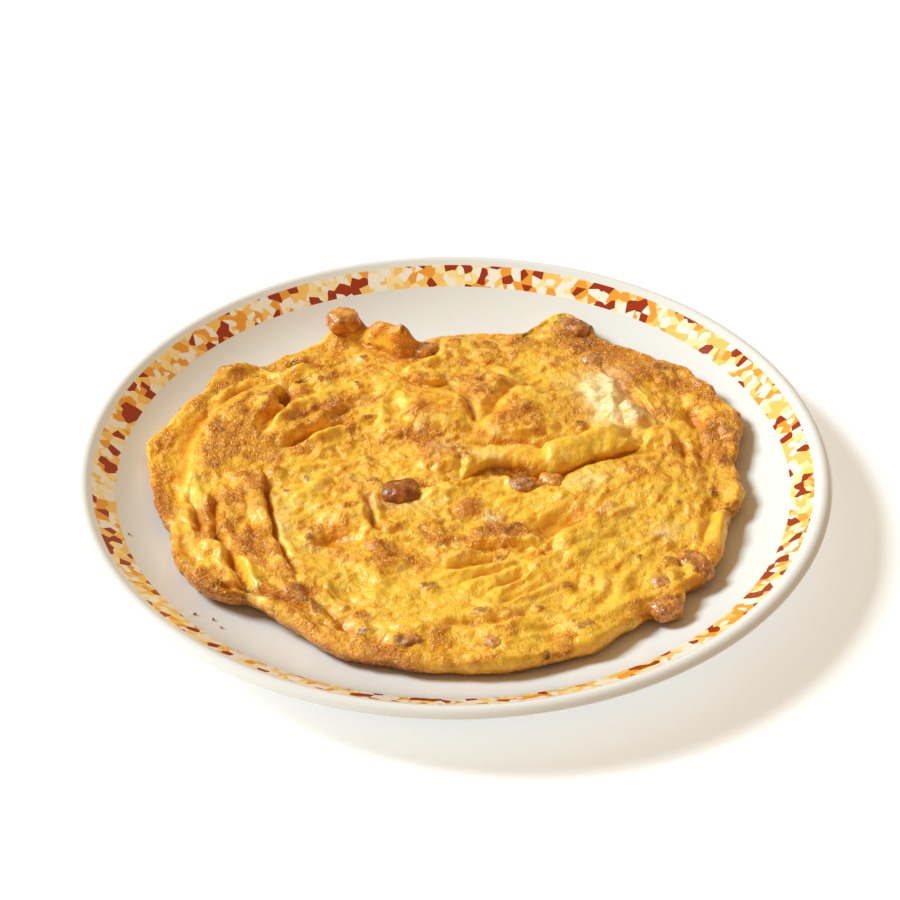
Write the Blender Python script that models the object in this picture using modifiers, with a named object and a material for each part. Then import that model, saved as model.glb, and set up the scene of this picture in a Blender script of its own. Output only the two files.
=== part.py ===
"""Preserved radish omelette on a round plate.

A browned, folded omelette about 205 mm across lies on a 260 mm plate with a coved wall.
Diced radish sits in pockets of the omelette. Lengths are in metres, +Z is up, the origin is the
centre of the plate's foot, and -Y is the side nearest the diner. Bearings are in degrees from +X,
turning towards +Y.
"""
import math

import bpy
import bmesh
from mathutils import Matrix, Vector, noise

MM = 0.001
GAP = 0.3 * MM                    # clearance between pieces that touch
NAME = "radish_omelette_plate"

# Plate: a flat floor, a coved wall, a straight sloping band, and a lip with a rounded crown that
# falls to a narrow outer edge.
PLATE_RADIUS = 130.0 * MM
PLATE_FLOOR_HEIGHT = 5.0 * MM
PLATE_FLOOR_RADIUS = 84.0 * MM
PLATE_COVE_RADIUS = 60.6 * MM
PLATE_WALL = 3.5 * MM
PLATE_BAND_SLOPE = 32.0           # degrees, where the cove ends and the band starts
LIP_CROWN_RADIUS = 3.0 * MM
LIP_CROWN_HEIGHT = 17.5 * MM      # centre of the crown's arc above the table
LIP_CROWN_END = 45.0              # degrees above level, where the crown's arc ends
LIP_EDGE_RADIUS = 0.5 * MM
LIP_EDGE_HEIGHT = 18.6 * MM       # centre of the edge's arc above the table
FOOT_OUTER_RADIUS = 75.5 * MM
FOOT_INNER_RADIUS = 71.5 * MM
FOOT_FLARE = 1.5 * MM
PLATE_STEPS = 56
COVE_POINTS = 5
CROWN_POINTS = 5
EDGE_POINTS = 3

# Omelette body.
OMELETTE_RADIUS = 100.0 * MM
OMELETTE_THICKNESS = 8.5 * MM
EDGE_THICKNESS = 6.5 * MM
EDGE_TAPER = 22.0 * MM            # width of the zone that thins towards the edge
EDGE_ROUNDING = 3.5 * MM          # horizontal reach of the rounded rim
EDGE_LIFT = 1.0 * MM              # the crisp rim stands this far off the plate
EDGE_LIFT_WIDTH = 14.0 * MM
ARCH_BEARING = 229.0              # here the rim bridges the plate
ARCH_SPREAD = 5.5
ARCH_HEIGHT = 3.0 * MM
LUMP_HEIGHT = 1.1 * MM
LUMP_SIZE = 19.0 * MM
TOP_SHARE = 0.75                  # share of the ball's area that becomes the upper face
BALL_SUBDIVISIONS = 5

# Outline: (bearing, outward reach in mm, half width in degrees) of each lobe, or bay where negative.
LOBES = (
    (28, 4.5, 14), (62, 2.5, 5), (88, -14.0, 8), (120, -3.5, 6), (172, 6.0, 13),
    (212, 4.0, 6), (235, -4.5, 9), (279, 2.5, 10),
)

# Folds that follow the rim: (radius mm, first bearing, last bearing, height mm, half width mm).
RING_FOLDS = (
    (96, 146, 182, 1.8, 4.0), (84, 184, 226, 2.4, 5.0), (71, 176, 222, 2.2, 4.5),
    (63, 178, 228, -2.8, 2.6), (78, 196, 224, -2.4, 2.4), (91, 240, 300, 1.6, 5.0),
    (87, 318, 358, 1.4, 7.0),
)

# Straight folds: (start x, y, end x, y in mm, height mm, half width mm). Negative heights are creases.
STRAIGHT_FOLDS = (
    (5, 5, 28, 6, 6.5, 4.2), (28, 6, 50, 19, 7.0, 4.2), (50, 19, 66, 17, 5.5, 4.2),
    (4, -6, 30, -2, -3.4, 3.2), (30, -2, 60, 9, -3.0, 2.8),
    (-72, 48, -92, 8, -2.6, 2.8), (-62, 24, -28, 52, 3.0, 4.5), (-60, 17, -46, 24, -2.6, 2.6),
    (0, 49, 8, 28, -2.8, 2.8), (6, 21, 26, 47, 3.4, 5.0), (-29, -12, -25, -34, -3.0, 2.6),
    (-5, -53, 20, -44, 1.5, 2.8), (6, -66, 36, -47, 1.5, 2.8), (-38, 86, -8, 82, 5.5, 4.5),
    (-22, 60, -2, 65, 2.5, 4.0),
)

# Domes and hollows: (x, y mm, reach along mm, reach across mm, turn degrees, height mm).
DOMES = (
    (-76, 22, 26, 13, 52, 3.6), (-6, 37, 13, 11, 0, 5.4), (18, 50, 12, 9, 0, 4.2),
    (-12, 13, 14, 8, 20, 3.2), (37, -27, 12, 5, 20, -3.4), (-39, -38, 8, 5, 0, -3.0),
    (84, 34, 10, 6, 20, -2.2), (72, 22, 9, 8, 0, 2.4), (62, 34, 8, 8, 0, 2.2),
    (54, -6, 18, 13, 0, 2.2), (-32, -24, 9, 9, 0, 2.0), (28, -35, 13, 6, 0, 2.0),
)

# Radish dice: name -> (x, y mm, half sizes mm, turn degrees, sink of the centre below the egg mm).
RADISH = {
    "centre": (-18, -12, (7.0, 4.6, 3.6), 8, 1.2),
    "under_fold_left": (24, -7, (4.6, 3.4, 3.2), 20, 0.8),
    "under_fold_right": (34, -3, (4.8, 3.4, 3.2), -25, 0.8),
    "back_left": (-41, 86, (6.2, 5.0, 4.4), 15, 0.0),
    "back_fold_end": (-10, 73, (4.4, 3.8, 3.4), 40, 1.2),
    "back_right": (45, 88, (6.6, 4.4, 3.8), -30, 1.0),
    "back_right_inner": (51, 69, (5.6, 4.2, 3.6), -35, 2.0),
    "right_rim": (97, 21, (3.6, 5.0, 3.4), 10, 1.2),
    "right_front": (80, -50, (4.6, 7.6, 3.6), 25, 2.0),
    "front_right_upper": (69, -60, (4.8, 4.0, 3.4), 10, 2.0),
    "front_right_lower": (69, -71, (5.2, 4.4, 3.6), 30, 1.4),
    "front_round": (41, -82, (5.6, 4.0, 3.0), -10, 2.0),
    "front_middle": (14, -90, (4.6, 3.8, 3.0), 0, 1.8),
    "front_left": (-14, -88, (5.4, 4.0, 3.0), 12, 2.0),
}
DICE_SUBDIVISIONS = 2
DICE_SQUARENESS = 0.62            # 1 is an ellipsoid, smaller is boxier
DICE_UNEVENNESS = 0.10
POCKET_CLEARANCE = 0.42 * MM
SEED_STEP = 7.3                   # spacing of the noise samples of one die from the next

PLATE_LOOK = ((0.90, 0.90, 0.88), 0.12)
EGG_LOOK = ((0.92, 0.60, 0.12), 0.35)
RADISH_LOOK = ((0.42, 0.22, 0.12), 0.32)


def clear_scene():
    for old in list(bpy.data.objects):
        bpy.data.objects.remove(old, do_unlink=True)


def new_collection(name):
    group = bpy.data.collections.new(name)
    bpy.context.scene.collection.children.link(group)
    return group


def make_material(name, look):
    colour, roughness = look
    material = bpy.data.materials.new(name)
    material.use_nodes = True
    shader = material.node_tree.nodes["Principled BSDF"]
    shader.inputs["Base Color"].default_value = (*colour, 1.0)
    shader.inputs["Roughness"].default_value = roughness
    shader.inputs["Metallic"].default_value = 0.0
    return material


def add_object(name, mesh, group, material):
    piece = bpy.data.objects.new(name, mesh)
    group.objects.link(piece)
    mesh.materials.append(material)
    return piece


def arc(centre_x, centre_z, radius, start, end, count):
    """Points of an arc in the X-Z plane, from the start angle to the end angle, in degrees."""
    angles = [math.radians(start + (end - start) * i / (count - 1)) for i in range(count)]
    return [(centre_x + radius * math.cos(a), centre_z + radius * math.sin(a)) for a in angles]


# ---------------------------------------------------------------- plate

def plate_profile():
    """The half section, from the middle of the floor over the lip to the middle of the underside."""
    cove_z = PLATE_FLOOR_HEIGHT + PLATE_COVE_RADIUS
    inner = arc(PLATE_FLOOR_RADIUS, cove_z, PLATE_COVE_RADIUS, -90, PLATE_BAND_SLOPE - 90, COVE_POINTS)
    crown = arc(PLATE_RADIUS - LIP_CROWN_RADIUS, LIP_CROWN_HEIGHT, LIP_CROWN_RADIUS,
                PLATE_BAND_SLOPE + 90, LIP_CROWN_END, CROWN_POINTS)
    edge = arc(PLATE_RADIUS - LIP_EDGE_RADIUS, LIP_EDGE_HEIGHT, LIP_EDGE_RADIUS,
               0, PLATE_BAND_SLOPE - 90, EDGE_POINTS)
    outer = arc(PLATE_FLOOR_RADIUS, cove_z, PLATE_COVE_RADIUS + PLATE_WALL,
                PLATE_BAND_SLOPE - 90, -90, COVE_POINTS)
    underside = PLATE_FLOOR_HEIGHT - PLATE_WALL
    foot = [
        (FOOT_OUTER_RADIUS + FOOT_FLARE, underside), (FOOT_OUTER_RADIUS, 0.0),
        (FOOT_INNER_RADIUS, 0.0), (FOOT_INNER_RADIUS - FOOT_FLARE, underside), (0.0, underside),
    ]
    return [(0.0, PLATE_FLOOR_HEIGHT)] + inner + crown + edge + outer + foot


def build_plate(group, material):
    profile = plate_profile()
    mesh = bpy.data.meshes.new("plate")
    edges = [(i, i + 1) for i in range(len(profile) - 1)]
    mesh.from_pydata([(x, 0.0, z) for x, z in profile], edges, [])
    plate = add_object("plate", mesh, group, material)
    turn = plate.modifiers.new("turn", "SCREW")
    turn.axis = "Z"
    turn.angle = math.tau
    turn.steps = PLATE_STEPS
    turn.render_steps = PLATE_STEPS
    turn.use_merge_vertices = True
    turn.merge_threshold = 0.00005
    turn.use_smooth_shade = True
    return plate


def plate_height(radius):
    """Height of the eating surface at a distance from the plate's centre."""
    beyond = radius - PLATE_FLOOR_RADIUS
    if beyond <= 0.0:
        return PLATE_FLOOR_HEIGHT
    return PLATE_FLOOR_HEIGHT + PLATE_COVE_RADIUS - math.sqrt(PLATE_COVE_RADIUS ** 2 - beyond ** 2)


# ---------------------------------------------------------------- omelette

def bell(distance, half_width):
    return math.exp(-0.5 * (distance / half_width) ** 2)


def turn_between(bearing, other):
    """Smallest difference of two bearings, in degrees."""
    return (bearing - other + 180.0) % 360.0 - 180.0


def outline_radius(bearing):
    reach = sum(out * bell(turn_between(bearing, at), width) for at, out, width in LOBES)
    return OMELETTE_RADIUS + reach * MM


def ring_fold(x, y, fold):
    radius, first, last, height, width = fold
    bearing = math.degrees(math.atan2(y, x)) % 360.0
    past_end = max(first - bearing, bearing - last, 0.0)
    along = math.radians(past_end) * radius * MM
    across = math.hypot(x, y) - radius * MM
    return height * MM * bell(across, width * MM) * bell(along, 2.0 * width * MM)


def straight_fold(x, y, fold):
    x0, y0, x1, y1, height, width = fold
    start = Vector((x0, y0)) * MM
    run = Vector((x1, y1)) * MM - start
    share = max(0.0, min(1.0, (Vector((x, y)) - start).dot(run) / run.length_squared))
    distance = (Vector((x, y)) - start - run * share).length
    return height * MM * bell(distance, width * MM)


def dome(x, y, form):
    centre_x, centre_y, along, across, turn, height = form
    angle = math.radians(turn)
    dx = x - centre_x * MM
    dy = y - centre_y * MM
    u = (dx * math.cos(angle) + dy * math.sin(angle)) / (along * MM)
    v = (dy * math.cos(angle) - dx * math.sin(angle)) / (across * MM)
    return height * MM * bell(math.hypot(u, v), 0.6)


def underside_height(x, y):
    radius = math.hypot(x, y)
    bearing = math.degrees(math.atan2(y, x))
    inside = max(0.0, outline_radius(bearing) - radius)
    rim = max(0.0, 1.0 - inside / EDGE_LIFT_WIDTH)
    lift = EDGE_LIFT + ARCH_HEIGHT * bell(turn_between(bearing, ARCH_BEARING), ARCH_SPREAD)
    return plate_height(radius) + GAP + lift * rim ** 2


def surface_height(x, y):
    """Height of the omelette's upper face: body, folds, domes and gentle lumps."""
    radius = math.hypot(x, y)
    bearing = math.degrees(math.atan2(y, x))
    inside = max(0.0, outline_radius(bearing) - radius)
    body = min(1.0, inside / EDGE_TAPER)
    height = underside_height(x, y) + EDGE_THICKNESS + (OMELETTE_THICKNESS - EDGE_THICKNESS) * body
    relief = sum(ring_fold(x, y, fold) for fold in RING_FOLDS)
    relief += sum(straight_fold(x, y, fold) for fold in STRAIGHT_FOLDS)
    relief += sum(dome(x, y, form) for form in DOMES)
    relief += LUMP_HEIGHT * noise.fractal(Vector((x, y, 0.0)) / LUMP_SIZE, 0.7, 2.0, 3)
    return height + max(relief, EDGE_THICKNESS - OMELETTE_THICKNESS - 1.5 * MM)


def place_on_omelette(point):
    """Moves a point of the unit ball to the omelette: equal areas stay equal on each face."""
    split = 1.0 - 2.0 * TOP_SHARE
    upper = point.z >= split
    if upper:
        share = math.sqrt(max(0.0, (1.0 - point.z) / (1.0 - split)))
    else:
        share = math.sqrt(max(0.0, (1.0 + point.z) / (1.0 + split)))
    bearing = math.atan2(point.y, point.x)
    reach = outline_radius(math.degrees(bearing))
    straight = reach - EDGE_ROUNDING
    path = share * (straight + EDGE_ROUNDING * math.pi / 2.0)
    round_angle = max(0.0, path - straight) / EDGE_ROUNDING
    radius = min(path, straight) + EDGE_ROUNDING * math.sin(round_angle)
    x = radius * math.cos(bearing)
    y = radius * math.sin(bearing)
    top = surface_height(x, y)
    bottom = underside_height(x, y)
    half = (top - bottom) / 2.0
    drop = half * (1.0 - math.cos(round_angle))
    return Vector((x, y, top - drop if upper else bottom + drop))


def build_omelette(group, material):
    shape = bmesh.new()
    bmesh.ops.create_icosphere(shape, subdivisions=BALL_SUBDIVISIONS, radius=1.0)
    for vertex in shape.verts:
        vertex.co = place_on_omelette(vertex.co.normalized())
    mesh = bpy.data.meshes.new("omelette")
    shape.to_mesh(mesh)
    shape.free()
    mesh.shade_smooth()
    return add_object("omelette", mesh, group, material)


# ---------------------------------------------------------------- radish

def dice_mesh(name, half_sizes, seed, extra):
    """An uneven rounded die; extra is added all round, which gives its pocket."""
    shape = bmesh.new()
    bmesh.ops.create_icosphere(shape, subdivisions=DICE_SUBDIVISIONS, radius=1.0)
    offset = Vector((seed * SEED_STEP, 0.0, 0.0))
    for vertex in shape.verts:
        way = vertex.co.normalized()
        boxy = Vector([math.copysign(abs(part) ** DICE_SQUARENESS, part) for part in way])
        uneven = 1.0 + DICE_UNEVENNESS * noise.noise(way * 1.6 + offset)
        place = Vector([b * half * MM * uneven for b, half in zip(boxy, half_sizes)])
        vertex.co = place + place.normalized() * extra
    mesh = bpy.data.meshes.new(name)
    shape.to_mesh(mesh)
    shape.free()
    mesh.shade_smooth()
    return mesh


def build_radish(omelette, group, cutters, material):
    for seed, (label, (x, y, half_sizes, turn, sink)) in enumerate(RADISH.items()):
        centre = Vector((x * MM, y * MM, surface_height(x * MM, y * MM) - sink * MM))
        place = Matrix.Translation(centre) @ Matrix.Rotation(math.radians(turn), 4, "Z")
        name = "radish_" + label
        die = add_object(name, dice_mesh(name, half_sizes, seed, 0.0), group, material)
        die.matrix_world = place
        cutter = bpy.data.objects.new("pocket_" + label, dice_mesh(name, half_sizes, seed, POCKET_CLEARANCE))
        cutters.objects.link(cutter)
        cutter.matrix_world = place
        cutter.hide_render = True
        cutter.display_type = "WIRE"
        pocket = omelette.modifiers.new("pocket_" + label, "BOOLEAN")
        pocket.operation = "DIFFERENCE"
        pocket.object = cutter


def main():
    clear_scene()
    group = new_collection(NAME)
    cutters = new_collection("cutters")
    build_plate(group, make_material("plate_white", PLATE_LOOK))
    omelette = build_omelette(group, make_material("fried_egg", EGG_LOOK))
    build_radish(omelette, group, cutters, make_material("preserved_radish", RADISH_LOOK))


main()
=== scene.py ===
"""Looks of the preserved radish omelette on its plate.

Shapes are worked out in millimetres in the plate's frame (+X right, +Y away from the viewer, +Z up,
origin under the plate's centre) and turned into metres when a mesh is made. Places are read off the
photograph as pixels of its 900 by 900 frame and carried onto the plate along the camera's view. A path
is written as the columns and rows of its places in turn.
"""
import functools
import itertools
import math

import bmesh
import bpy
import numpy as np
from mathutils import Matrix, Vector


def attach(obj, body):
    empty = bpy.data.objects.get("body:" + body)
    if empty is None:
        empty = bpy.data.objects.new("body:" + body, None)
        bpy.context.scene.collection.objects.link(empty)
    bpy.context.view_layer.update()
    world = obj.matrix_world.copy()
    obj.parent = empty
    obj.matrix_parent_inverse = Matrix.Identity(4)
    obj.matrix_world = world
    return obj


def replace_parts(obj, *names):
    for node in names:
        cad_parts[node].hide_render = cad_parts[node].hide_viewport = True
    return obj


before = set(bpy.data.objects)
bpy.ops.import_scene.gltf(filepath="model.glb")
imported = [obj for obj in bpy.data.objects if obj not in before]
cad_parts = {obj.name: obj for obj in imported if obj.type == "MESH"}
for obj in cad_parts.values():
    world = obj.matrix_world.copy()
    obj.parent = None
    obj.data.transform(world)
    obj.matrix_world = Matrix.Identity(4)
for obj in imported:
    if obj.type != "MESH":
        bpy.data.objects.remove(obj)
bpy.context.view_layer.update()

MM = 0.001
GAP = 0.3  # between the egg and the plate

# ---- camera

FRAME_PIXELS = 900
SENSOR = 36.0
LENS = 98.08
CAMERA = np.array([-1.1, -674.2, 529.8])
AIM = np.array([-1.1, 5.2, 19.0])


def unit(vector):
    return vector / np.linalg.norm(vector)


FORWARD = unit(AIM - CAMERA)
RIGHT = unit(np.cross(FORWARD, [0.0, 0.0, 1.0]))
UP = np.cross(RIGHT, FORWARD)
FOCAL_PIXELS = LENS / SENSOR * FRAME_PIXELS


def on_plate(pixels, height):
    """Places in mm where the view through photo pixels, as columns and rows, meets a height."""
    offset = (np.reshape(pixels, (-1, 2)) - FRAME_PIXELS / 2) / FOCAL_PIXELS
    way = FORWARD + offset[:, :1] * RIGHT - offset[:, 1:] * UP
    reach = (height - CAMERA[2]) / way[:, 2]
    return (CAMERA + way * reach[:, None])[:, :2]


# ---- plate sizes, as in the CAD model

PLATE_RADIUS = 130.0
PLATE_FLOOR_HEIGHT = 5.0
PLATE_FLOOR_RADIUS = 84.0
PLATE_COVE_RADIUS = 60.6
PLATE_COVE_REACH = 33.0  # how far the cove's curve is followed
PLATE_WALL = 3.5
PLATE_BAND_SLOPE = 32.0
LIP_CROWN_RADIUS = 3.0
LIP_CROWN_HEIGHT = 17.5
LIP_CROWN_END = 45.0
LIP_EDGE_RADIUS = 0.5
LIP_EDGE_HEIGHT = 18.6
FOOT_OUTER_RADIUS = 75.5
FOOT_INNER_RADIUS = 71.5
FOOT_FLARE = 1.5
FOOT_ROUNDING = 0.4
BAND_INNER_RADIUS = 116.1
BAND_OUTER_RADIUS = 123.8


def plate_height(radius):
    beyond = np.clip(radius - PLATE_FLOOR_RADIUS, 0.0, PLATE_COVE_REACH)
    return PLATE_FLOOR_HEIGHT + PLATE_COVE_RADIUS - np.sqrt(PLATE_COVE_RADIUS ** 2 - beyond ** 2)


# ---- noise

PRIMES = (73856093, 19349663, 83492791)
SEED_PRIME = 2654435761
MIX_PRIME = 1274126177
LARGEST_INT = 2147483647
NOISE_GAIN = {2: 2.2, 3: 1.9}  # brings noise along two or three axes to about -1 to 1
RANDOM = np.random.default_rng(946)
DIRECTIONS = RANDOM.normal(size=(1024, 3))
DIRECTIONS /= np.linalg.norm(DIRECTIONS, axis=1)[:, None]


def shuffle(cell, seed):
    """A number from 0 to 1023 for each grid cell."""
    mixed = np.full(cell.shape[:-1], seed * SEED_PRIME % LARGEST_INT, np.int64)
    for axis in range(cell.shape[-1]):
        mixed = mixed ^ (cell[..., axis] * PRIMES[axis])
    mixed = (mixed ^ (mixed >> 13)) * MIX_PRIME
    return (mixed ^ (mixed >> 16)) & 1023


def noise(points, size, seed):
    """Smooth noise, about -1 to 1, with lumps of the given size in mm."""
    place = points / size
    cell = np.floor(place).astype(np.int64)
    part = place - cell
    ease = part ** 3 * (part * (part * 6.0 - 15.0) + 10.0)
    total = 0.0
    axes = points.shape[-1]
    for corner in itertools.product((0, 1), repeat=axes):
        slope = DIRECTIONS[shuffle(cell + np.array(corner), seed)][..., :axes]
        weight = np.prod(np.where(corner, ease, 1.0 - ease), axis=-1)
        total = total + weight * ((part - corner) * slope).sum(-1)
    return total * NOISE_GAIN[axes]


def layered(points, layers):
    """Noises laid over one another, each given by its strength, size in mm and seed."""
    return sum(strength * noise(points, size, seed) for strength, size, seed in layers)


def smooth(low, high, value):
    share = np.clip((value - low) / (high - low), 0.0, 1.0)
    return share * share * (3.0 - 2.0 * share)


def bell(distance, half_width):
    return np.exp(-0.5 * (distance / half_width) ** 2)


# ---- omelette outline

# The rim's outline in the photo, clockwise from the left tip.
OUTLINE_PIXELS = (
    147, 452, 170, 430, 187, 405, 205, 393, 217, 372, 240, 363, 262, 364, 277, 355, 300, 345, 322, 336,
    331, 327, 342, 322, 356, 323, 366, 328, 385, 330, 421, 334, 440, 329, 467, 325, 510, 328, 527, 327,
    540, 320, 552, 315, 565, 313, 593, 325, 598, 334, 619, 342, 655, 357, 679, 366, 708, 389, 727, 409,
    741, 421, 742, 438, 734, 467, 740, 484, 744, 499, 739, 515, 729, 519, 727, 538, 724, 557, 715, 574,
    705, 592, 686, 597, 682, 614, 649, 624, 619, 641, 593, 660, 555, 668, 511, 679, 446, 679, 407, 676,
    376, 669, 344, 665, 322, 656, 306, 642, 280, 631, 262, 622, 245, 611, 229, 612, 201, 602, 176, 577,
    172, 542, 160, 522, 150, 480,
)
SIGHT_ROWS = (335, 480, 620)  # how high the rim's outline lies at these rows of the photo
SIGHT_HEIGHTS = (14.5, 10.0, 7.5)
BEARINGS = np.linspace(-math.pi, math.pi, 1441)
MEAN_REACH = 100.0
RIM_WAVES = ((0.7, 7.0, 3), (0.5, 3.2, 4))


def outline_reach():
    """Distance of the rim from the plate's centre at each of BEARINGS, in mm."""
    places = on_plate(OUTLINE_PIXELS, np.interp(OUTLINE_PIXELS[1::2], SIGHT_ROWS, SIGHT_HEIGHTS))
    bearing = np.arctan2(places[:, 1], places[:, 0])
    order = np.argsort(bearing)
    reach = np.interp(BEARINGS, bearing[order], np.hypot(*places.T)[order], period=math.tau)
    ring = np.stack([np.cos(BEARINGS), np.sin(BEARINGS)], -1) * MEAN_REACH
    return reach + layered(ring, RIM_WAVES)


REACH = outline_reach()


def rim_reach(bearing):
    return np.interp(bearing, BEARINGS, REACH)


# ---- omelette relief on a grid

STEP = 0.4
HALF = 112.0
AXIS = np.arange(-HALF, HALF + STEP / 2, STEP)
X, Y = np.meshgrid(AXIS, AXIS)
FLAT = np.stack([X, Y], -1)
RADIUS = np.hypot(X, Y)
BEARING = np.arctan2(Y, X)
INSIDE = rim_reach(BEARING) - RADIUS

BODY_THICKNESS = 8.5
RIM_THICKNESS = 6.2
RIM_TAPER = 20.0
RIM_RISE = (-2.0, 7.0)  # distances from the rim over which the relief grows
RIM_RELIEF = 0.35  # share of the relief that is left at the rim
LEAST_THICKNESS = 2.6
SKIN_BLUR = 0.3
RIM_LIFT = 1.0
RIM_LIFT_WIDTH = 14.0
ARCH_BEARING = math.radians(-131.0)
ARCH_SPREAD = math.radians(5.5)
ARCH_HEIGHT = 3.6
FOLD_SIGHT = 15.0  # height at which the photo's folds are read, in mm


def underside_height(x, y):
    radius = np.hypot(x, y)
    bearing = np.arctan2(y, x)
    rim = np.clip(1.0 - (rim_reach(bearing) - radius) / RIM_LIFT_WIDTH, 0.0, 1.2)
    lift = RIM_LIFT + ARCH_HEIGHT * bell(bearing - ARCH_BEARING, ARCH_SPREAD)
    return plate_height(radius) + GAP + lift * rim ** 2


def blur(field, spread):
    """The field smoothed over a distance in mm."""
    turns = np.fft.fftfreq(field.shape[0], STEP)
    keep = np.exp(-2.0 * (math.pi * spread) ** 2 * (turns[:, None] ** 2 + turns[None, :] ** 2))
    return np.fft.ifft2(np.fft.fft2(field) * keep).real


def sample(field, x, y):
    """The field's value at places in mm, between its grid points."""
    column = np.clip((x + HALF) / STEP, 0, field.shape[1] - 1.001)
    row = np.clip((y + HALF) / STEP, 0, field.shape[0] - 1.001)
    c, r = np.asarray(column).astype(int), np.asarray(row).astype(int)
    u, v = column - c, row - r
    near = field[r, c] * (1 - u) + field[r, c + 1] * u
    far = field[r + 1, c] * (1 - u) + field[r + 1, c + 1] * u
    return near * (1 - v) + far * v


CURVE_SPANS = 5


def curve_through(pixels, sight):
    """A smooth path in mm through places read off the photo."""
    points = on_plate(pixels, sight)
    ends = np.vstack([2 * points[0] - points[1], points, 2 * points[-1] - points[-2]])
    path = []
    for a, b, c, d in zip(ends[:-3], ends[1:-2], ends[2:-1], ends[3:]):
        for t in np.arange(CURVE_SPANS) / CURVE_SPANS:
            path.append(0.5 * (2 * b + (c - a) * t + (2 * a - 5 * b + 4 * c - d) * t ** 2
                               + (3 * b - a - 3 * c + d) * t ** 3))
    return np.array(path + [points[-1]])


def follow(pixels, sight, reach, ends):
    """Near a path: its window of the grid, signed distance (positive on its left), strength, normal."""
    path = curve_through(pixels, sight)
    low, high = path.min(0) - reach, path.max(0) + reach
    columns = slice(*np.clip(np.searchsorted(AXIS, (low[0], high[0])), 0, len(AXIS)))
    rows = slice(*np.clip(np.searchsorted(AXIS, (low[1], high[1])), 0, len(AXIS)))
    window = (rows, columns)
    x, y = X[window] + WARP_X[window], Y[window] + WARP_Y[window]
    nearest = np.full(x.shape, np.inf)
    signed, share = np.zeros(x.shape), np.zeros(x.shape)
    normal = np.zeros(x.shape + (2,))
    lengths = np.hypot(*np.diff(path, axis=0).T)
    travelled = np.concatenate(([0.0], np.cumsum(lengths)))
    for start, end, length, done in zip(path[:-1], path[1:], lengths, travelled):
        ux, uy = (end - start) / length
        dx, dy = x - start[0], y - start[1]
        run = np.clip(dx * ux + dy * uy, 0.0, length)
        distance = np.hypot(dx - run * ux, dy - run * uy)
        closer = distance < nearest
        left = ux * dy - uy * dx
        nearest = np.where(closer, distance, nearest)
        signed = np.where(closer, np.where(left >= 0, distance, -distance), signed)
        share = np.where(closer, (done + run) / travelled[-1], share)
        normal[closer] = (-uy, ux)
    return window, signed, smooth(0.0, ends, share) * smooth(0.0, ends, 1.0 - share), normal


# How far painted and raised places are pushed about, so that their edges run uneven.
WARP_X, WARP_Y = (layered(FLAT, ((0.7, 9.0, seed), (0.35, 3.0, seed + 1))) for seed in (11, 13))
# Fields on the grid: relief, relief that stays full at the rim, and how far folds lean; how brown (below
# 0 clearer), which also holds painted shadow under the flap, painted highlights along the pleats and broad
# painted light; egg white; burnt spots, which also hold painted shade under the flap and in pits; stretched
# glossy skin, radish bits and how grey the bits are.
RELIEF, STANDING, LEAN_X, LEAN_Y, TOAST_AND_PAINTED_LIGHT, WHITE, CHAR_AND_PAINTED_SHADE, SMOOTH, FLESH, GREY = np.zeros((10, *X.shape))


def quarter_round(distance, width):
    return np.sqrt(np.clip(1.0 - (1.0 - np.clip(distance / width, 0.0, 1.0)) ** 2, 0.0, 1.0))


UNDERCUT_WIDTH = 0.8  # of the groove under a fold's edge, as shares of the nose
UNDERCUT_END = 0.4


def fold_edge(pixels, height, nose, run, lean=0.0, under=0.0, ends=0.2, sight=FOLD_SIGHT, field=RELIEF,
              soft=0.0):
    """A sheet that ends in a rounded edge along the path, raised on the path's left; soft slopes it."""
    window, signed, strength, normal = follow(pixels, sight, 3.0 * run + nose, ends)
    slope = np.sin(0.5 * math.pi * np.clip(signed / nose, 0.0, 1.0))
    profile = (1.0 - soft) * quarter_round(signed, nose) + soft * slope
    profile = profile * np.where(signed > nose, bell(signed - nose, run), 1.0)
    field[window] += strength * height * profile
    for axis, lean_field in enumerate((LEAN_X, LEAN_Y)):
        lean_field[window] -= strength * lean * profile * normal[..., axis]
    groove = bell(np.minimum(signed, 0.0), nose * UNDERCUT_WIDTH) * (signed < nose * UNDERCUT_END)
    field[window] -= strength * under * groove


def ridge(pixels, height, half_width, ends=0.2, sight=FOLD_SIGHT):
    """A rounded ridge, or a rounded groove where height is negative."""
    paint_along(RELIEF, pixels, half_width, height, ends, sight)


SHOULDER_PLACE = 2.6  # of a crease's swollen sides, in half widths
SHOULDER_WIDTH = 1.3


def crease(pixels, depth, half_width, shoulder=0.35, ends=0.2, sight=FOLD_SIGHT):
    """A sharp groove with swollen sides."""
    window, signed, strength, _ = follow(pixels, sight, 6.0 * half_width, ends)
    groove = np.exp(-np.abs(signed) / half_width)
    sides = bell(np.abs(signed) - SHOULDER_PLACE * half_width, SHOULDER_WIDTH * half_width)
    RELIEF[window] += depth * strength * (shoulder * sides - groove)


def along_and_across(x, y, turn):
    cos, sin = math.cos(math.radians(turn)), math.sin(math.radians(turn))
    return x * cos + y * sin, y * cos - x * sin


def ellipse_distance(x, y, sizes, turn):
    """Distance from the centre of a turned ellipse, 1 at its edge."""
    along, across = along_and_across(x, y, turn)
    return np.hypot(along / sizes[0], across / sizes[1])


def spot_distance(pixel, sizes, turn):
    x, y = on_plate(pixel, FOLD_SIGHT)[0]
    return ellipse_distance(X + WARP_X - x, Y + WARP_Y - y, sizes, turn)


def paint(field, pixel, sizes, amount, turn=0.0, full=2.0):
    field += amount * np.exp(-spot_distance(pixel, sizes, turn) ** full)


def dome(pixel, sizes, height, turn=0.0, full=2.4):
    """A swelling, or a hollow where height is negative; a fuller one has a flatter top."""
    paint(RELIEF, pixel, sizes, height, turn, full)


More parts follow.
